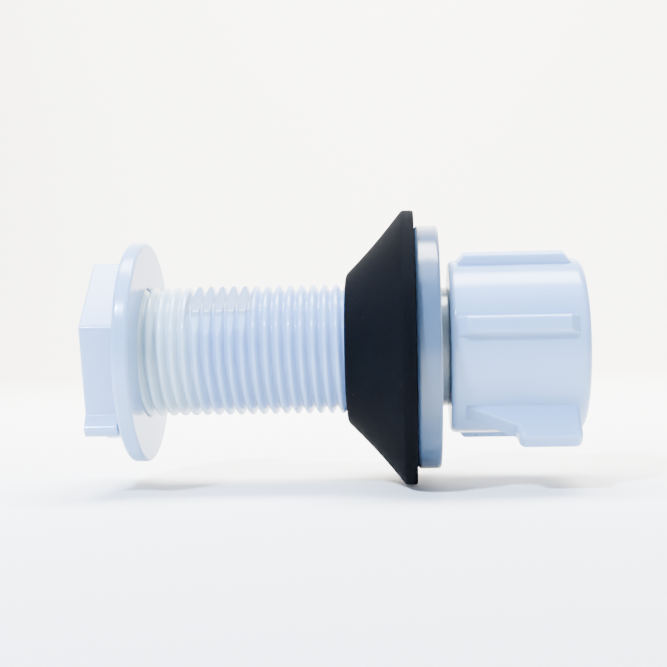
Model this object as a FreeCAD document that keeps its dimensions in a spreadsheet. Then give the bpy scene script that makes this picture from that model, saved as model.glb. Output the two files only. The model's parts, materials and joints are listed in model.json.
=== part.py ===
import FreeCAD, Part
import math
import os
import re
import Sketcher
from FreeCAD import Placement, Rotation, Vector

# A plastic thru hull fitting, in millimetres. Its axis is X: the threaded tail runs towards -X,
# through the hull, and the coupling nut is on the +X side. The origin is on the axis, at the
# face of the flange that the gasket seats on. Angles about the axis start at -Y and turn to +Z.

doc = FreeCAD.newDocument("ThruHullFitting")

sizes = {
    # the tail, from the flange's seat to its free end, and the thread on it
    "tail_reach": 50.6,
    "tail_wall": 3.45,
    "tail_lead_chamfer": 1.0,
    "thread_crest": 20.6,
    "thread_depth": 1.1,
    "thread_pitch": 1.8143,
    "thread_half_angle": 27.5,
    "thread_root_flat": 0.2,
    "thread_crest_easing": 0.2,
    "thread_relief": 2.4,
    "thread_relief_margin": 0.1,
    # the smooth marking pad: two flats cut across the crests
    "marking_pad_gap": 25.2,
    "marking_pad_length": 10.3,
    "upper_flat_angle": 58.0,
    "upper_flat_height": 9.3,
    "lower_flat_angle": 33.0,
    "lower_flat_height": 9.75,
    # the flange, the hub that stands the coupling nut off it, and the neck inside that nut
    "flange_outside": 38.5,
    "flange_depth": 3.7,
    "flange_rim_round": 0.6,
    "hub_bearing": 1.3,
    "hub_length": 1.4,
    "neck_room": 1.9,
    "neck_end_land": 1.5,
    "neck_end_chamfer": 0.3,
    # the split ring in the neck's groove
    "ring_room": 0.4,
    "ring_thickness": 1.7,
    "ring_groove_depth": 0.8,
    "ring_opening": 24.0,
    "ring_play": 0.05,
    # the conical gasket
    "gasket_length": 10.9,
    "gasket_tip_wall": 1.35,
    "gasket_rim_overhang": 2.55,
    "gasket_rim_width": 1.95,
    "gasket_tip_round": 0.6,
    "gasket_rim_round": 0.5,
    "gasket_bore_clearance": 0.1,
    "gasket_seat_gap": 0.05,
    # the backnut: a hexagon with two lugs on a round flange
    "backnut_wall": 2.2,
    "backnut_hex_length": 5.1,
    "backnut_hex_angle": 15.8,
    "backnut_flange_outside": 35.1,
    "backnut_flange_depth": 3.0,
    "backnut_rim_width": 2.4,
    "backnut_cone_margin": 0.1,
    "backnut_rim_round": 0.6,
    "backnut_edge_round": 0.8,
    "backnut_end_overhang": 0.1,
    "backnut_bore_chamfer": 0.9,
    "lug_angle": 133.0,
    "lug_reach": 16.7,
    "lug_root_width": 4.4,
    "lug_tip_width": 1.9,
    "lug_round": 0.6,
    # the fit of every internal thread
    "thread_major_clearance": 0.15,
    "thread_minor_clearance": 0.3,
    "thread_flank_clearance": 0.1,
    # the coupling nut, its four ribs and two wings
    "nut_gap": 0.1,
    "nut_float": 0.5,
    "nut_wall": 3.05,
    "nut_length": 20.8,
    "nut_lip_clearance": 0.5,
    "nut_lip_depth": 3.0,
    "nut_back_round": 0.9,
    "nut_front_round": 1.5,
    "nut_mouth_depth": 1.5,
    "nut_mouth_clearance": 0.15,
    "nut_relief_lead": 0.95,
    "nut_relief_width": 2.2,
    "rib_first_angle": 13.2,
    "rib_second_angle": 73.2,
    "rib_height": 1.5,
    "rib_width": 2.8,
    "rib_start": 1.2,
    "rib_end_gap": 1.9,
    "rib_ramp": 1.3,
    "rib_round": 0.7,
    "wing_angle": 133.2,
    "wing_height": 6.0,
    "wing_width": 3.0,
    "wing_web_start": 2.2,
    "wing_web_height": 3.6,
    "wing_step": 9.3,
    "wing_step_run": 0.7,
    "wing_end_gap": 1.7,
    "wing_round": 0.8,
    "wing_corner_round": 1.0,
    # how far ribs, wings and lugs run into the solid they stand on
    "root_overlap": 2.0,
    # how near an edge must be to the place it is looked for at
    "edge_margin": 0.2,
    # the seat washer on the tail's end face
    "washer_thickness": 2.0,
    "washer_bore_clearance": 0.25,
    "washer_side_gap": 0.15,
    "washer_seat_gap": 0.05,
}

sheet = doc.addObject("Spreadsheet::Sheet", "Sizes")
for row, (alias, number) in enumerate(sizes.items(), start=1):
    sheet.set(f"A{row}", alias.replace("_", " "))
    sheet.set(f"B{row}", str(number))
    sheet.setAlias(f"B{row}", alias)
doc.recompute()

# radii that several pieces share, from the thread inwards and outwards
thread_crest = "thread_crest / 2"
thread_root = f"({thread_crest} - thread_depth)"
bore_radius = f"({thread_root} - tail_wall)"
nut_minor = f"({thread_root} + thread_minor_clearance)"
nut_major = f"({thread_crest} + thread_major_clearance)"
neck_radius = f"({nut_minor} - neck_room)"
groove_floor = f"({neck_radius} - ring_groove_depth)"
lip_radius = f"({neck_radius} + nut_lip_clearance)"
hub_radius = f"({lip_radius} + hub_bearing)"
mouth_radius = f"({nut_major} + nut_mouth_clearance)"
nut_outside = f"({mouth_radius} + nut_wall)"
flat_radius = f"({nut_major} + backnut_wall)"
corner_radius = f"({flat_radius} / cos(30))"
flank_run = "tan(thread_half_angle)"

# places along the axis that several pieces share
nut_start = "(flange_depth + hub_length + nut_gap)"
nut_end = f"({nut_start} + nut_length)"
ring_start = f"({nut_start} + nut_lip_depth + nut_float)"
ring_end = f"({ring_start} + ring_thickness)"
neck_end = f"({ring_end} + ring_play + neck_end_land)"
backnut_end = "(tail_reach + backnut_end_overhang)"
backnut_shoulder = f"({backnut_end} - backnut_hex_length)"
backnut_face = f"({backnut_shoulder} - backnut_flange_depth)"


def bound(text):
    """An expression that reads its sizes from the sheet."""
    return re.sub(r"[a-z][a-z_]+", lambda m: f"Sizes.{m[0]}" if m[0] in sizes else m[0], text)


def bind(item, field, text):
    item.setExpression(field, bound(text))


def origin_plane(body, role):
    return next(item for item in body.Origin.OriginFeatures if item.Role == role)


def new_body(label):
    body = doc.addObject("PartDesign::Body", label)
    body.Label = label
    return body


def new_sketch(body, name, role, along=None, turn=None, turn_axis=Vector(0, 0, 1)):
    """A sketch on one of the body's planes, moved along the plane's normal and turned."""
    sketch = body.newObject("Sketcher::SketchObject", name)
    sketch.AttachmentSupport = [(origin_plane(body, role), "")]
    sketch.MapMode = "FlatFace"
    if turn:
        sketch.AttachmentOffset = Placement(Vector(), Rotation(turn_axis, 10))
        bind(sketch, "AttachmentOffset.Rotation.Angle", turn)
    if along:
        bind(sketch, "AttachmentOffset.Base.z", along)
    return sketch


def outline(sketch, corners):
    """A closed outline of straight edges, each corner held at its two distances."""
    count = len(corners)
    around = [2 * math.pi * i / count for i in range(count)]
    rough = [Vector(20 * math.cos(a), 20 * math.sin(a), 0) for a in around]
    for i in range(count):
        sketch.addGeometry(Part.LineSegment(rough[i], rough[(i + 1) % count]), False)
    for i in range(count):
        sketch.addConstraint(Sketcher.Constraint("Coincident", i, 2, (i + 1) % count, 1))
    for i, corner in enumerate(corners):
        for direction, text in zip(("DistanceX", "DistanceY"), corner):
            at = sketch.addConstraint(Sketcher.Constraint(direction, -1, 1, i, 1, 1.0))
            bind(sketch, f"Constraints[{at}]", text)
    return sketch


def revolved(body, name, corners, kind="Revolution", turn=None):
    """A profile in distance along the axis and radius, turned about the axis."""
    sketch = outline(new_sketch(body, name + "Profile", "XZ_Plane"), corners)
    feature = body.newObject("PartDesign::" + kind, name)
    feature.Profile = sketch
    feature.ReferenceAxis = (sketch, ["H_Axis"])
    feature.Angle = 360
    if turn:
        bind(feature, "Angle", turn)
    doc.recompute()
    return feature


def extruded(body, name, sketch, length, kind="Pad", midplane=False):
    feature = body.newObject("PartDesign::" + kind, name)
    feature.Profile = sketch
    feature.Midplane = midplane
    bind(feature, "Length", length)
    doc.recompute()
    return feature


def halfway_round(body, feature):
    """The same feature again, half a turn round the axis."""
    pattern = body.newObject("PartDesign::PolarPattern", feature.Name + "Pair")
    pattern.Originals = [feature]
    pattern.Axis = (next(o for o in body.Origin.OriginFeatures if o.Role == "X_Axis"), [""])
    pattern.Angle = 360
    pattern.Occurrences = 2
    body.Tip = pattern
    doc.recompute()
    return pattern


def rounded(body, name, size, wanted, kind="Fillet"):
    """Rounds or chamfers the edges of the body so far that are wanted."""
    base = body.Tip
    edges = [f"Edge{i}" for i, edge in enumerate(base.Shape.Edges, start=1) if wanted(edge)]
    if not edges:
        raise RuntimeError(f"{name} has no edges to work on")
    feature = body.newObject("PartDesign::" + kind, name)
    feature.Base = (base, edges)
    bind(feature, "Radius" if kind == "Fillet" else "Size", size)
    doc.recompute()
    return feature


def number(text):
    """What an expression of the sheet's sizes comes to, read back from a property."""
    probe = doc.getObject("Probe") or doc.addObject("App::FeaturePython", "Probe")
    if "Value" not in probe.PropertiesList:
        probe.addProperty("App::PropertyFloat", "Value")
    bind(probe, "Value", text)
    probe.recompute()
    return probe.Value


def ring_edge(radius, places):
    """Tests for a circle about the axis, of a radius, at one of some places along the axis."""
    far = number(radius)
    spots = [number(place) for place in places]

    def wanted(edge):
        if not isinstance(edge.Curve, Part.Circle) or abs(edge.Curve.Radius - far) > 1e-4:
            return False
        return any(abs(edge.Curve.Center.x - spot) < 1e-4 for spot in spots)

    return wanted


def straight_edge(low, high, radius):
    """Tests for a straight edge along the axis, between two places, further out than a radius."""
    first, last, near = number(low), number(high), number(radius)

    def wanted(edge):
        if not isinstance(edge.Curve, Part.Line):
            return False
        box, middle = edge.BoundBox, edge.CenterOfMass
        along = abs(edge.tangentAt(edge.FirstParameter).x) > 0.999
        within = box.XMin > first - 1e-4 and box.XMax < last + 1e-4
        return along and within and math.hypot(middle.y, middle.z) > near

    return wanted


def corner_edge(places, radius):
    """Tests for a straight edge across the axis, at one of some places, outside a radius."""
    spots, near = [number(place) for place in places], number(radius)

    def wanted(edge):
        if not isinstance(edge.Curve, Part.Line):
            return False
        middle = edge.CenterOfMass
        across = abs(edge.tangentAt(edge.FirstParameter).x) < 0.001
        at_spot = any(abs(middle.x - spot) < 1e-4 for spot in spots)
        return across and at_spot and math.hypot(middle.y, middle.z) > near

    return wanted


def screw_cut(body, name, start, length, corners):
    """Cuts a right-hand groove of the thread's pitch, its section given from its start."""
    sketch = new_sketch(body, name + "Section", "XZ_Plane")
    outline(sketch, [(f"{start} + {along}", radius) for along, radius in corners])
    doc.recompute()
    cut = body.newObject("PartDesign::SubtractiveHelix", name)
    cut.Profile = sketch
    cut.ReferenceAxis = (sketch, ["H_Axis"])
    cut.Mode = "pitch-height-angle"
    bind(cut, "Pitch", "thread_pitch")
    bind(cut, "Height", length)
    doc.recompute()
    return cut


def outside_thread_section():
    """The groove between two ridges of the tail's thread, its ridges' corners eased."""
    eased = f"({thread_crest} - thread_crest_easing)"
    root_half = "(thread_root_flat / 2)"
    flank_half = f"({root_half} + (thread_depth - thread_crest_easing) * {flank_run})"
    outer_half = f"({flank_half} + 1.5 * thread_crest_easing)"
    outer = f"({thread_crest} + thread_crest_easing / 2)"
    return [
        (f"-{root_half}", thread_root),
        (root_half, thread_root),
        (flank_half, eased),
        (outer_half, outer),
        (f"-{outer_half}", outer),
        (f"-{flank_half}", eased),
    ]


def inside_thread_section():
    """The groove in a nut: the tail's ridge, wider by the clearance on its flanks."""
    spread = "(thread_flank_clearance / cos(thread_half_angle))"
    ridge_half = f"((thread_pitch - thread_root_flat) / 2 - thread_depth * {flank_run} + {spread})"
    floor_half = f"({ridge_half} - thread_major_clearance * {flank_run})"
    mouth = f"({nut_minor} - thread_minor_clearance)"
    mouth_half = f"({floor_half} + ({nut_major} - {mouth}) * {flank_run})"
    return [
        (f"-{floor_half}", nut_major),
        (f"-{mouth_half}", mouth),
        (mouth_half, mouth),
        (floor_half, nut_major),
    ]


def threaded_tail():
    body = new_body("threaded_tail")
    crest, neck = thread_crest, neck_radius
    relief = f"{thread_root} - thread_relief_margin"
    hub_end = "flange_depth + hub_length"
    groove_start, groove_end = f"{ring_start} - ring_play", f"{ring_end} + ring_play"
    revolved(body, "TailBlank", [
        ("-tail_reach", bore_radius),
        ("-tail_reach", f"{crest} - tail_lead_chamfer"),
        ("-tail_reach + tail_lead_chamfer", crest),
        ("-thread_relief", crest),
        ("-thread_relief", relief),
        ("0", relief),
        ("0", "flange_outside / 2"),
        ("flange_depth", "flange_outside / 2"),
        ("flange_depth", hub_radius),
        (hub_end, hub_radius),
        (hub_end, neck),
        (groove_start, neck),
        (groove_start, groove_floor),
        (groove_end, groove_floor),
        (groove_end, neck),
        (f"{neck_end} - neck_end_chamfer", neck),
        (neck_end, f"{neck} - neck_end_chamfer"),
        (neck_end, bore_radius),
    ])
    rounded(body, "FlangeRim", "flange_rim_round",
            ring_edge("flange_outside / 2", ["0", "flange_depth"]))
    # the groove starts clear of the free end and runs out in the relief beside the flange
    start = "-tail_reach - thread_pitch / 2"
    screw_cut(body, "TailThread", start,
              "tail_reach + thread_pitch / 2 - thread_relief / 2", outside_thread_section())
    for name, angle, height in (
        ("UpperFlat", "upper_flat_angle", "upper_flat_height"),
        ("LowerFlat", "lower_flat_angle", "lower_flat_height"),
    ):
        sketch = new_sketch(body, name + "Outline", "YZ_Plane", along="-marking_pad_gap",
                            turn=f"180 - {angle}")
        outer, side = "thread_crest", thread_crest
        outline(sketch, [(height, f"-{side}"), (outer, f"-{side}"), (outer, side), (height, side)])
        extruded(body, name, sketch, "marking_pad_length", kind="Pocket")
    return body


def cone_gasket():
    body = new_body("cone_gasket")
    bore = f"({thread_crest} + gasket_bore_clearance)"
    back = "-gasket_seat_gap"
    tip, rim = f"{bore} + gasket_tip_wall", "flange_outside / 2 + gasket_rim_overhang"
    revolved(body, "GasketCone", [
        ("-gasket_length", bore),
        ("-gasket_length", tip),
        ("-gasket_rim_width", rim),
        (back, rim),
        (back, bore),
    ])
    rounded(body, "GasketTip", "gasket_tip_round", ring_edge(tip, ["-gasket_length"]))
    rounded(body, "GasketRim", "gasket_rim_round", ring_edge(rim, ["-gasket_rim_width", back]))
    return body


def backnut():
    body = new_body("backnut")
    cone, rim = f"{corner_radius} + backnut_cone_margin", "backnut_flange_outside / 2"
    revolved(body, "BacknutFlange", [
        (f"-{backnut_shoulder}", bore_radius),
        (f"-{backnut_shoulder}", cone),
        (f"-{backnut_face} - backnut_rim_width", rim),
        (f"-{backnut_face}", rim),
        (f"-{backnut_face}", bore_radius),
    ])
    rounded(body, "BacknutRim", "backnut_rim_round",
            ring_edge(rim, [f"-{backnut_face}", f"-{backnut_face} - backnut_rim_width"]))
    hexagon = new_sketch(body, "HexagonOutline", "YZ_Plane", along=f"-{backnut_end}")
    turns = [f"(backnut_hex_angle + {60 * i})" for i in range(6)]
    outline(hexagon, [(f"-{corner_radius} * cos({a})", f"{corner_radius} * sin({a})") for a in turns])
    extruded(body, "Hexagon", hexagon, "backnut_hex_length")
    rounded(body, "HexagonCorners", "backnut_edge_round",
            straight_edge(f"-{backnut_end}", f"-{backnut_shoulder}", flat_radius))
    lug = new_sketch(body, "LugOutline", "YZ_Plane", along=f"-{backnut_end}",
                     turn="180 - lug_angle")
    inner = f"{flat_radius} - root_overlap"
    outline(lug, [
        (inner, "-lug_root_width / 2"),
        ("lug_reach", "-lug_tip_width / 2"),
        ("lug_reach", "lug_tip_width / 2"),
        (inner, "lug_root_width / 2"),
    ])
    halfway_round(body, extruded(body, "Lug", lug, "backnut_hex_length"))
    rounded(body, "LugTips", "lug_round",
            straight_edge(f"-{backnut_end}", f"-{backnut_shoulder}", "lug_reach - edge_margin"))
    deep = "backnut_bore_chamfer"
    revolved(body, "BacknutBore", [
        (f"-{backnut_end}", "0"),
        (f"-{backnut_end}", f"{nut_minor} + {deep}"),
        (f"-{backnut_end} + {deep}", nut_minor),
        (f"-{backnut_face} - {deep}", nut_minor),
        (f"-{backnut_face}", f"{nut_minor} + {deep}"),
        (f"-{backnut_face}", "0"),
    ], kind="Groove")
    # in mesh with the tail: the nut's groove is over the tail's ridge, half a pitch along
    start = "-tail_reach - 2 * thread_pitch"
    screw_cut(body, "BacknutThread", start,
              "backnut_hex_length + backnut_flange_depth + 4 * thread_pitch",
              inside_thread_section())
    return body


def coupling_nut():
    body = new_body("coupling_nut")
    outside = nut_outside
    relief = f"({neck_end} - nut_relief_lead)"
    revolved(body, "NutBarrel", [
        (nut_start, lip_radius),
        (nut_start, outside),
        (nut_end, outside),
        (nut_end, mouth_radius),
        (f"{nut_end} - nut_mouth_depth", mouth_radius),
        (f"{nut_end} - nut_mouth_depth", nut_minor),
        (f"{relief} + nut_relief_width", nut_minor),
        (f"{relief} + nut_relief_width", mouth_radius),
        (relief, mouth_radius),
        (relief, nut_minor),
        (f"{nut_start} + nut_lip_depth", nut_minor),
        (f"{nut_start} + nut_lip_depth", lip_radius),
    ])
    rounded(body, "NutBack", "nut_back_round", ring_edge(outside, [nut_start]))
    rounded(body, "NutFront", "nut_front_round", ring_edge(outside, [nut_end]))
    root, crest = f"{outside} - root_overlap", f"{outside} + rib_height"
    rib_start, rib_end = f"({nut_start} + rib_start)", f"({nut_end} - rib_end_gap)"
    for name, angle in (("RibFirst", "rib_first_angle"), ("RibSecond", "rib_second_angle")):
        rib = new_sketch(body, name + "Outline", "XZ_Plane", turn=f"90 - {angle}",
                         turn_axis=Vector(1, 0, 0))
        outline(rib, [
            (rib_start, root),
            (rib_start, outside),
            (f"{rib_start} + rib_ramp", crest),
            (f"{rib_end} - rib_ramp", crest),
            (rib_end, outside),
            (rib_end, root),
        ])
        halfway_round(body, extruded(body, name, rib, "rib_width", midplane=True))
    rounded(body, "RibEdges", "rib_round",
            straight_edge(f"{rib_start} + rib_ramp", f"{rib_end} - rib_ramp",
                          f"{crest} - edge_margin"))
    wing = new_sketch(body, "WingOutline", "XZ_Plane", turn="90 - wing_angle",
                      turn_axis=Vector(1, 0, 0))
    wing_step = f"({nut_start} + wing_step)"
    wing_end = f"({nut_end} - wing_end_gap)"
    tip = f"{outside} + wing_height"
    outline(wing, [
        (f"{nut_start} + wing_web_start", root),
        (f"{nut_start} + wing_web_start", outside),
        (wing_step, f"{outside} + wing_web_height"),
        (f"{wing_step} + wing_step_run", tip),
        (wing_end, tip),
        (wing_end, root),
    ])
    halfway_round(body, extruded(body, "Wing", wing, "wing_width", midplane=True))
    rounded(body, "WingCorners", "wing_corner_round",
            corner_edge([f"{wing_step} + wing_step_run", wing_end], f"{tip} - edge_margin"))
    rounded(body, "WingEdges", "wing_round",
            straight_edge(f"{wing_step} + wing_step_run", wing_end, f"{tip} - edge_margin"))
    start = f"{relief} + nut_relief_width / 2"
    screw_cut(body, "NutThread", start, f"{nut_end} + thread_pitch - {relief}",
              inside_thread_section())
    return body


def retaining_ring():
    body = new_body("retaining_ring")
    inner = f"{groove_floor} + ring_play"
    outside = f"{nut_minor} - ring_room"
    revolved(body, "SplitRing", [
        (ring_start, inner),
        (ring_start, outside),
        (ring_end, outside),
        (ring_end, inner),
    ], turn="360 - ring_opening")
    return body


def seat_washer():
    body = new_body("seat_washer")
    start = f"{neck_end} + washer_seat_gap"
    outside = f"{nut_minor} - washer_side_gap"
    inside = f"{bore_radius} + washer_bore_clearance"
    revolved(body, "Washer", [
        (start, inside),
        (start, outside),
        (f"{start} + washer_thickness", outside),
        (f"{start} + washer_thickness", inside),
    ])
    return body


pieces = [
    threaded_tail(),
    cone_gasket(),
    backnut(),
    coupling_nut(),
    retaining_ring(),
    seat_washer(),
]
doc.recompute()

for item in doc.Objects:
    if {"Invalid", "Error"} & set(item.State):
        raise RuntimeError(f"{item.Label} failed: {item.State}")
for piece in pieces:
    if piece.Shape.isNull() or not piece.Shape.isValid() or len(piece.Shape.Solids) != 1:
        raise RuntimeError(f"{piece.Label} is not one valid solid")

os.makedirs("parts", exist_ok=True)
for piece in pieces:
    piece.Shape.exportStep(f"parts/{piece.Label}.step")
    print(piece.Label, round(piece.Shape.Volume, 1), len(piece.Shape.Faces))
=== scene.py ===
import json
import math

import bmesh
import bpy
from mathutils import Matrix, Vector


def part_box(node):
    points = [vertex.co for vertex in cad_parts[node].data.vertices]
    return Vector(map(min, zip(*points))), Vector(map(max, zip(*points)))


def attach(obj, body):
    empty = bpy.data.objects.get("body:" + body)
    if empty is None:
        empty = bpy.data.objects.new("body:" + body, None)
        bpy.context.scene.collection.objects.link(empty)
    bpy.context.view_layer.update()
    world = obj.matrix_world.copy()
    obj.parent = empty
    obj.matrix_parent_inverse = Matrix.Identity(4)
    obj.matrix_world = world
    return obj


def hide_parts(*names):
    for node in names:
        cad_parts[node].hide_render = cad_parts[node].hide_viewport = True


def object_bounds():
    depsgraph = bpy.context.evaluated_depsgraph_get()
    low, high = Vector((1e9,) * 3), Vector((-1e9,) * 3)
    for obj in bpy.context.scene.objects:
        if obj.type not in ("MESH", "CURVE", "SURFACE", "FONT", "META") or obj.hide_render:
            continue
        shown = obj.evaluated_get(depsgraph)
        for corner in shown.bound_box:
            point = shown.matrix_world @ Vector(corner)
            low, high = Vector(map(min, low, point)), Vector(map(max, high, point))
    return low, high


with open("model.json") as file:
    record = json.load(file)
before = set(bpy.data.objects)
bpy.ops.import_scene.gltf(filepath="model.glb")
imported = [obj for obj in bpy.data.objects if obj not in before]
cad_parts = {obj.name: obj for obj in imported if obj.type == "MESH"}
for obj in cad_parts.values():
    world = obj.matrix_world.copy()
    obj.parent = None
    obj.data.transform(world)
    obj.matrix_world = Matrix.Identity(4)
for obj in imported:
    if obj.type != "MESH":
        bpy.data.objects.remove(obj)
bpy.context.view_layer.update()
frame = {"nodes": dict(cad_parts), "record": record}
mm = 0.001
print("frame loaded:", ", ".join(sorted(frame["nodes"])))


def colourInput(mix, name):
    # a Mix node has an A and a B for each kind of data: these are the colour ones
    return next(i for i in mix.inputs if i.name == name and i.type == "RGBA")


def colourOutput(mix):
    return next(o for o in mix.outputs if o.type == "RGBA")


def linearColour(hexText):
    channels = [int(hexText[i:i + 2], 16) / 255 for i in (0, 2, 4)]
    return [c / 12.92 if c <= 0.04045 else ((c + 0.055) / 1.055) ** 2.4 for c in channels] + [1.0]


def addNode(tree, kind, settings=None, links=None):
    # settings are the node's own options or its input values; links are {input: output socket}
    node = tree.nodes.new(kind)
    for name, value in (settings or {}).items():
        if hasattr(node, name):
            setattr(node, name, value)
        else:
            node.inputs[name].default_value = value
    for name, socket in (links or {}).items():
        tree.links.new(socket, node.inputs[name])
    return node


def startMaterial(name):
    material = bpy.data.materials.new(name)
    material.use_nodes = True
    tree = material.node_tree
    shader = next(n for n in tree.nodes if n.type == "BSDF_PRINCIPLED")
    place = addNode(tree, "ShaderNodeTexCoord").outputs["Object"]
    return material, tree, shader, place


def finishedPiece(name, shape):
    # a bmesh becomes a smooth object at the origin, with its place in its mesh
    for face in shape.faces:
        face.smooth = True
    mesh = bpy.data.meshes.new(name)
    shape.to_mesh(mesh)
    shape.free()
    piece = bpy.data.objects.new(name, mesh)
    bpy.context.scene.collection.objects.link(piece)
    return piece


# Natural polyamide (nylon 6), injection moulded: milky and cool, a little see-through at thin
# edges, with a soft gloss, rounded corners and the faint cloudiness of a thick moulding.
nylonSettings = {
    "body": "8FADD4",
    "cloud": "85A4CC",
    "cloudSize": 7 * mm,
    "roughness": 0.17,
    "glossier": 0.05,  # how far the roughness falls and rises over the skin
    "duller": 0.09,
    "ior": 1.53,
    "scatter": 0.5,
    "scatterDepth": 2.2 * mm,
    "scatterTint": (1.0, 1.05, 1.1),
    "skinSize": 0.35 * mm,  # the fine texture of the mould's steel
    "skinDepth": 0.002 * mm,
    "skinStrength": 0.6,
    "waveSize": 5 * mm,  # sink marks over thick places
    "waveDepth": 0.03 * mm,
    "waveStrength": 0.7,
    "softEdge": 0.45 * mm,  # the mould's rounded corners and roots
    "softSamples": 8,
}


def zoneMask(tree, place, limits):
    # 1 inside every (direction, low, high, blur) and 0 outside, in metres along the direction
    mask = None
    for direction, low, high, blur in limits:
        along = addNode(tree, "ShaderNodeVectorMath", {"operation": "DOT_PRODUCT"},
                        {"Vector": place})
        along.inputs[1].default_value = direction
        rise = addNode(tree, "ShaderNodeMapRange",
                       {"From Min": low - blur, "From Max": low + blur},
                       {"Value": along.outputs["Value"]})
        fall = addNode(tree, "ShaderNodeMapRange",
                       {"From Min": high - blur, "From Max": high + blur,
                        "To Min": 1.0, "To Max": 0.0},
                       {"Value": along.outputs["Value"]})
        for edge in (rise, fall):
            if mask is None:
                mask = edge.outputs["Result"]
                continue
            both = addNode(tree, "ShaderNodeMath", {"operation": "MULTIPLY"})
            tree.links.new(mask, both.inputs[0])
            tree.links.new(edge.outputs["Result"], both.inputs[1])
            mask = both.outputs["Value"]
    return mask


def makeNylon(name, zones=()):
    # zones are (colour, limits for zoneMask)
    s = nylonSettings
    material, tree, shader, place = startMaterial(name)
    cloud = addNode(tree, "ShaderNodeTexNoise", {"Scale": 1 / s["cloudSize"], "Detail": 3.0},
                    {"Vector": place})
    mix = addNode(tree, "ShaderNodeMix", {"data_type": "RGBA"}, {"Factor": cloud.outputs["Fac"]})
    colourInput(mix, "A").default_value = linearColour(s["body"])
    colourInput(mix, "B").default_value = linearColour(s["cloud"])
    colour = colourOutput(mix)
    for hexText, limits in zones:
        tint = addNode(tree, "ShaderNodeMix", {"data_type": "RGBA"},
                       {"Factor": zoneMask(tree, place, limits)})
        tree.links.new(colour, colourInput(tint, "A"))
        colourInput(tint, "B").default_value = linearColour(hexText)
        colour = colourOutput(tint)
    tree.links.new(colour, shader.inputs["Base Color"])
    skin = addNode(tree, "ShaderNodeTexNoise", {"Scale": 1 / s["skinSize"], "Detail": 2.0},
                   {"Vector": place})
    gloss = addNode(tree, "ShaderNodeMapRange",
                    {"To Min": s["roughness"] - s["glossier"],
                     "To Max": s["roughness"] + s["duller"]},
                    {"Value": skin.outputs["Fac"]})
    tree.links.new(gloss.outputs["Result"], shader.inputs["Roughness"])
    soft = addNode(tree, "ShaderNodeBevel",
                   {"samples": s["softSamples"], "Radius": s["softEdge"]})
    fine = addNode(tree, "ShaderNodeBump",
                   {"Distance": s["skinDepth"], "Strength": s["skinStrength"]},
                   {"Height": skin.outputs["Fac"], "Normal": soft.outputs["Normal"]})
    wave = addNode(tree, "ShaderNodeTexNoise", {"Scale": 1 / s["waveSize"], "Detail": 1.0},
                   {"Vector": place})
    broad = addNode(tree, "ShaderNodeBump",
                    {"Distance": s["waveDepth"], "Strength": s["waveStrength"]},
                    {"Height": wave.outputs["Fac"], "Normal": fine.outputs["Normal"]})
    tree.links.new(broad.outputs["Normal"], shader.inputs["Normal"])
    shader.inputs["IOR"].default_value = s["ior"]
    shader.inputs["Subsurface Weight"].default_value = s["scatter"]
    shader.inputs["Subsurface Radius"].default_value = s["scatterTint"]
    shader.inputs["Subsurface Scale"].default_value = s["scatterDepth"]
    return material


# The tail's tints, painted light and painted shade, from its free end to the coupling nut.
tailSettings = {
    "freeEnd": "AFC6D2",  # the first thin turns, which let warmer light through
    "freeEndReach": 16 * mm,
    "freeEndBlur": 2.5 * mm,
    "paintedPadShade": "7A92AC",  # painted shade on the upper flat of the smooth pad across the thread, which faces up
    "padStart": -35.4 * mm,
    "padEnd": -25.3 * mm,
    "padEndBlur": 0.2 * mm,
    "padTilt": math.radians(58),  # from level, towards the front
    "padInside": 8.9 * mm,  # from the axis, square to the pad
    "padOutside": 9.6 * mm,
    "padFaceBlur": 0.12 * mm,
    "paintedShadeBesideGasket": "485C74",  # painted shade over the flange and hub between gasket and coupling nut, where the black gasket behind the milky flange takes light away
    "rubberLead": 0.5 * mm,
    "rubberBlur": 0.8 * mm,
    "paintedHubShade": "8A979E",  # painted shade on the hub deep in the gap between flange and nut
    "hubLead": 1.6 * mm,
    "hubReach": 2 * mm,
    "hubBlur": 0.15 * mm,
}


def makeTailNylon():
    s = tailSettings
    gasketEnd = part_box("cone_gasket")[1].x
    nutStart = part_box("coupling_nut")[0].x
    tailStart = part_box("threaded_tail")[0].x
    alongTail = (1, 0, 0)
    padNormal = (0, -math.cos(s["padTilt"]), math.sin(s["padTilt"]))
    return makeNylon("mouldedNylonTail", [
        (s["freeEnd"], [(alongTail, tailStart, tailStart + s["freeEndReach"],
                         s["freeEndBlur"])]),
        # painted shade on the pad's upper flat
        (s["paintedPadShade"], [(alongTail, s["padStart"], s["padEnd"], s["padEndBlur"]),
                           (padNormal, s["padInside"], s["padOutside"], s["padFaceBlur"])]),
        # painted shade over the flange and hub, between the gasket and the coupling nut
        (s["paintedShadeBesideGasket"], [(alongTail, gasketEnd - s["rubberLead"], nutStart,
                              s["rubberBlur"])]),
        # painted shade on the hub in the gap between flange and nut
        (s["paintedHubShade"], [(alongTail, nutStart - s["hubLead"], nutStart + s["hubReach"],
                         s["hubBlur"])]),
    ])


# EPDM rubber, compression moulded: near black, matt, with grey dust caught on its skin.
epdmSettings = {
    "body": "030406",
    "worn": "07090D",
    "dust": "4A5158",
    "dustFrom": 0.74,  # where in the noise the dust starts, is full, and how much shows
    "dustFull": 0.82,
    "dustMost": 0.3,
    "roughness": 0.85,
    "gloss": 0.04,
    "ior": 1.5,
    "patchSize": 6 * mm,
    "speckSize": 0.55 * mm,
    "skinSize": 0.25 * mm,
    "skinDepth": 0.02 * mm,
    "skinStrength": 0.8,
}

# Nitrile, punched from sheet: dark grey, a little shinier, with a faint calendered grain.
nitrileSettings = dict(epdmSettings, body="1A1C1E", worn="26292C", roughness=0.7, gloss=0.3,
                       skinSize=0.18 * mm)


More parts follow.
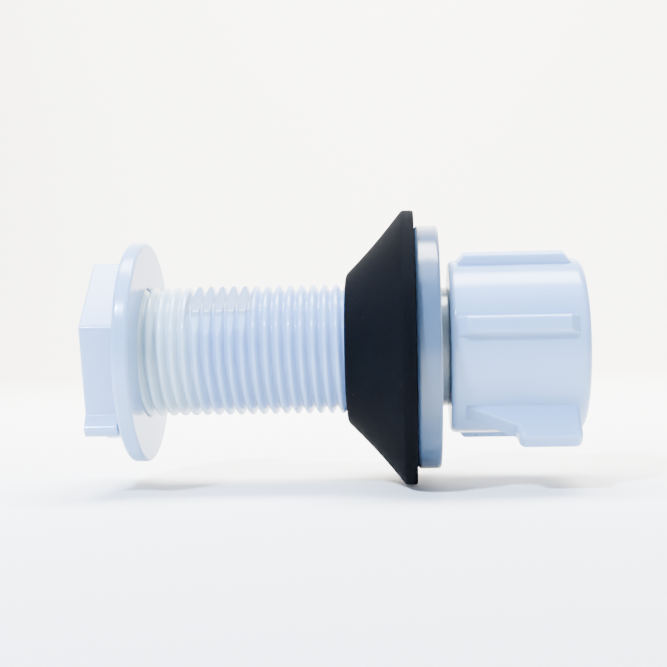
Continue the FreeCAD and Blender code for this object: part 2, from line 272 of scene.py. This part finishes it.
def makeRubber(name, s):
    material, tree, shader, place = startMaterial(name)
    patch = addNode(tree, "ShaderNodeTexNoise", {"Scale": 1 / s["patchSize"], "Detail": 4.0},
                    {"Vector": place})
    body = addNode(tree, "ShaderNodeMix", {"data_type": "RGBA"}, {"Factor": patch.outputs["Fac"]})
    colourInput(body, "A").default_value = linearColour(s["body"])
    colourInput(body, "B").default_value = linearColour(s["worn"])
    speck = addNode(tree, "ShaderNodeTexNoise", {"Scale": 1 / s["speckSize"], "Detail": 2.0},
                    {"Vector": place})
    rare = addNode(tree, "ShaderNodeMapRange",
                   {"From Min": s["dustFrom"], "From Max": s["dustFull"],
                    "To Min": 0.0, "To Max": s["dustMost"]},
                   {"Value": speck.outputs["Fac"]})
    dusty = addNode(tree, "ShaderNodeMix", {"data_type": "RGBA"},
                    {"Factor": rare.outputs["Result"]})
    tree.links.new(colourOutput(body), colourInput(dusty, "A"))
    colourInput(dusty, "B").default_value = linearColour(s["dust"])
    tree.links.new(colourOutput(dusty), shader.inputs["Base Color"])
    skin = addNode(tree, "ShaderNodeTexNoise", {"Scale": 1 / s["skinSize"], "Detail": 3.0},
                   {"Vector": place})
    fine = addNode(tree, "ShaderNodeBump",
                   {"Distance": s["skinDepth"], "Strength": s["skinStrength"]},
                   {"Height": skin.outputs["Fac"]})
    tree.links.new(fine.outputs["Normal"], shader.inputs["Normal"])
    shader.inputs["Roughness"].default_value = s["roughness"]
    shader.inputs["Specular IOR Level"].default_value = s["gloss"]
    shader.inputs["IOR"].default_value = s["ior"]
    return material


# Acetal, machined from rod: creamy white, satin, with fine turning marks round it.
ringSettings = {
    "body": "D8D6CB",
    "marks": "C9C6BA",
    "roughness": 0.38,
    "ior": 1.48,
    "markWidth": 0.2 * mm,
    "markDepth": 0.01 * mm,
    "markStrength": 0.7,
}


def makeAcetal():
    s = ringSettings
    material, tree, shader, place = startMaterial("machinedAcetal")
    along = addNode(tree, "ShaderNodeSeparateXYZ", links={"Vector": place}).outputs["X"]
    marks = addNode(tree, "ShaderNodeTexNoise",
                    {"noise_dimensions": "1D", "Scale": 1 / s["markWidth"], "Detail": 2.0},
                    {"W": along})
    mix = addNode(tree, "ShaderNodeMix", {"data_type": "RGBA"}, {"Factor": marks.outputs["Fac"]})
    colourInput(mix, "A").default_value = linearColour(s["body"])
    colourInput(mix, "B").default_value = linearColour(s["marks"])
    tree.links.new(colourOutput(mix), shader.inputs["Base Color"])
    turned = addNode(tree, "ShaderNodeBump",
                     {"Distance": s["markDepth"], "Strength": s["markStrength"]},
                     {"Height": marks.outputs["Fac"]})
    tree.links.new(turned.outputs["Normal"], shader.inputs["Normal"])
    shader.inputs["Roughness"].default_value = s["roughness"]
    shader.inputs["IOR"].default_value = s["ior"]
    return material


def spunRubber(name, profile, rounds, s):
    # profile is a closed loop of (along, radius), turned about the fitting's axis;
    # rounds are (its corner's number, rounding)
    sameRing = 0.005 * mm
    shape = bmesh.new()
    corners = [shape.verts.new((along, 0, radius)) for along, radius in profile]
    for i, corner in enumerate(corners):
        shape.edges.new((corner, corners[(i + 1) % len(corners)]))
    bmesh.ops.spin(shape, geom=shape.verts[:] + shape.edges[:], angle=2 * math.pi,
                   steps=s["steps"], axis=(1, 0, 0), cent=(0, 0, 0), use_merge=True)
    bmesh.ops.remove_doubles(shape, verts=shape.verts[:], dist=0.001 * mm)
    bmesh.ops.recalc_face_normals(shape, faces=shape.faces[:])
    for number, rounding in rounds:
        along, radius = profile[number]
        ring = [edge for edge in shape.edges if all(
            abs(v.co.x - along) < sameRing
            and abs(math.hypot(v.co.y, v.co.z) - radius) < sameRing for v in edge.verts)]
        bmesh.ops.bevel(shape, geom=ring, offset=rounding, segments=s["roundSegments"],
                        profile=0.5, affect="EDGES", material=-1)
    return finishedPiece(name, shape)


coneGasketSettings = {
    "boreGap": 0.1 * mm,  # round the thread's crests
    "tipWall": 1.3 * mm,
    "rimWidth": 1.9 * mm,
    "rimInset": 0.1 * mm,
    "hollow": 0.35 * mm,  # how far the cone's side curves in at its middle
    "hollowPoints": 8,
    "tipRound": 0.5 * mm,
    "rimRound": 0.35 * mm,
    "boreRound": 0.15 * mm,
    "roundSegments": 5,
    "steps": 144,
}


def makeConeGasket():
    s = coneGasketSettings
    low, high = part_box("cone_gasket")
    hole = next(m for m in frame["record"]["mounts"] if m["name"] == "hull_hole")
    bore = hole["dims"]["r_mm"] * mm + s["boreGap"]
    tip, rim = bore + s["tipWall"], high.z - s["rimInset"]
    tail, shoulder = low.x, high.x - s["rimWidth"]
    profile = [(tail, bore), (tail, tip)]
    for i in range(1, s["hollowPoints"]):
        t = i / s["hollowPoints"]
        sunk = s["hollow"] * math.sin(math.pi * t)
        profile.append((tail + (shoulder - tail) * t, tip + (rim - tip) * t - sunk))
    profile += [(shoulder, rim), (high.x, rim), (high.x, bore)]
    last = len(profile) - 1
    rounds = [(1, s["tipRound"]), (last - 2, s["rimRound"]), (last - 1, s["rimRound"]),
              (0, s["boreRound"]), (last, s["boreRound"])]
    piece = spunRubber("coneGasket", profile, rounds, s)
    piece.data.materials.append(makeRubber("mouldedEpdm", epdmSettings))
    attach(piece, "gasket")
    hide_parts("cone_gasket")


seatWasherSettings = {
    "bore": 6.0 * mm,
    "cutEdge": 0.12 * mm,  # the punch leaves its edges a little rounded
    "crown": 0.08 * mm,  # its faces stand a little proud between the two edges
    "roundSegments": 5,
    "steps": 96,
}


def makeSeatWasher():
    s = seatWasherSettings
    low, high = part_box("seat_washer")
    middle, sunk = (s["bore"] + high.z) / 2, s["crown"]
    profile = [(low.x + sunk, s["bore"]), (low.x, middle), (low.x + sunk, high.z),
               (high.x - sunk, high.z), (high.x, middle), (high.x - sunk, s["bore"])]
    rounds = [(number, s["cutEdge"]) for number in (0, 2, 3, 5)]
    piece = spunRubber("seatWasher", profile, rounds, s)
    piece.data.materials.append(makeRubber("punchedNitrile", nitrileSettings))
    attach(piece, "washer")
    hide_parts("seat_washer")


makeConeGasket()
makeSeatWasher()
print("rubber pieces made")

nylon = makeNylon("mouldedNylon")
finishes = {
    "threaded_tail": makeTailNylon(),
    "backnut": nylon,
    "coupling_nut": nylon,
    "retaining_ring": makeAcetal(),
}
for name, material in finishes.items():
    node = frame["nodes"][name]
    node.data.materials.clear()
    node.data.materials.append(material)
print("nylon and acetal pieces finished")


# Matt paper that runs along the floor and bends up behind the fitting.
backdropSettings = {
    "paper": "F4EEE6",
    "roughness": 0.9,
    "depthBehind": 0.55,
    "depthAhead": 0.5,
    "halfWidth": 1.2,
    "bendRadius": 0.25,
    "bendSteps": 24,
    "height": 0.9,
    "gapBelow": 0.2 * mm,
}


def makeBackdrop():
    s = backdropSettings
    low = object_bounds()[0].z - s["gapBelow"]
    shape = bmesh.new()
    start = shape.verts.new((-s["halfWidth"], -s["depthAhead"], low))
    bend = shape.verts.new((-s["halfWidth"], s["depthBehind"], low))
    shape.edges.new((start, bend))
    turned = bmesh.ops.spin(shape, geom=[bend], angle=math.pi / 2, steps=s["bendSteps"],
                            axis=(1, 0, 0), cent=(0, s["depthBehind"], low + s["bendRadius"]))
    top = [v for v in turned["geom_last"] if isinstance(v, bmesh.types.BMVert)]
    raised = bmesh.ops.extrude_vert_indiv(shape, verts=top)["verts"]
    bmesh.ops.translate(shape, verts=raised, vec=(0, 0, s["height"]))
    wide = bmesh.ops.extrude_edge_only(shape, edges=shape.edges[:])
    across = [v for v in wide["geom"] if isinstance(v, bmesh.types.BMVert)]
    bmesh.ops.translate(shape, verts=across, vec=(2 * s["halfWidth"], 0, 0))
    sheet = finishedPiece("backdrop", shape)
    paper = bpy.data.materials.new("mattPaper")
    paper.use_nodes = True
    shader = next(n for n in paper.node_tree.nodes if n.type == "BSDF_PRINCIPLED")
    shader.inputs["Base Color"].default_value = linearColour(s["paper"])
    shader.inputs["Roughness"].default_value = s["roughness"]
    sheet.data.materials.append(paper)


lampSettings = {
    # name: (place, what it is turned to, size, watts, colour)
    "key": ((-0.20, -0.34, 0.36), (0, 0, 0), 0.05, 11.0, "BAD6FF"),
    "top": ((-0.05, -0.05, 0.55), (0, 0, 0), 0.45, 4.0, "BAD6FF"),
    "fill": ((0.20, -0.60, 0.10), (0, 0, 0), 0.50, 1.0, "E0ECFF"),
    "wall": ((0.0, 0.15, 0.55), (0, 0.80, 0.12), 0.60, 44.0, "FFFFFF"),
}


def makeLamps():
    for name, (place, target, size, watts, colour) in lampSettings.items():
        data = bpy.data.lights.new(name, "AREA")
        data.shape = "DISK"
        data.size = size
        data.energy = watts
        data.color = linearColour(colour)[:3]
        lamp = bpy.data.objects.new(name, data)
        lamp.location = place
        lamp.visible_camera = False
        aim = Vector(target) - Vector(place)
        lamp.rotation_euler = aim.to_track_quat("-Z", "Y").to_euler()
        bpy.context.scene.collection.objects.link(lamp)


studioSettings = {
    "colour": "FFFFFF",
    "light": 0.20,  # what the empty studio gives the fitting
    "shown": 1.0,  # and how bright it looks past the paper's edge
}


def makeStudio():
    s = studioSettings
    world = bpy.data.worlds.new("studio")
    world.use_nodes = True
    tree = world.node_tree
    sky = tree.nodes["Background"]
    sky.inputs["Color"].default_value = linearColour(s["colour"])
    path = addNode(tree, "ShaderNodeLightPath")
    strength = addNode(tree, "ShaderNodeMapRange", {"To Min": s["light"], "To Max": s["shown"]},
                       {"Value": path.outputs["Is Camera Ray"]})
    tree.links.new(strength.outputs["Result"], sky.inputs["Strength"])
    bpy.context.scene.world = world


cameraSettings = {
    "distance": 199.7 * mm,
    "alongAxis": -1.78 * mm,  # the camera stands opposite this point of the axis
    "aimAlong": -13.07 * mm,  # and looks at this one
    "aboveAxis": 2.41 * mm,
    "roll": 1.085,  # degrees
    "lens": 67.57,  # both as Blender's camera takes them, in millimetres
    "sensor": 36,
    "clipStart": 5 * mm,
}


def makeCamera():
    s = cameraSettings
    place = Vector((s["alongAxis"], -s["distance"], s["aboveAxis"]))
    aim = Vector((s["aimAlong"], 0, s["aboveAxis"]))
    data = bpy.data.cameras.new("camera")
    data.lens = s["lens"]
    data.sensor_width = s["sensor"]
    data.clip_start = s["clipStart"]
    camera = bpy.data.objects.new("camera", data)
    camera.location = place
    turn = (aim - place).to_track_quat("-Z", "Y").to_matrix().to_4x4()
    camera.rotation_euler = (turn @ Matrix.Rotation(math.radians(-s["roll"]), 4, "Z")).to_euler()
    bpy.context.scene.collection.objects.link(camera)
    bpy.context.scene.camera = camera


makeBackdrop()
makeLamps()
makeStudio()
makeCamera()
print("backdrop, lamps and camera made")
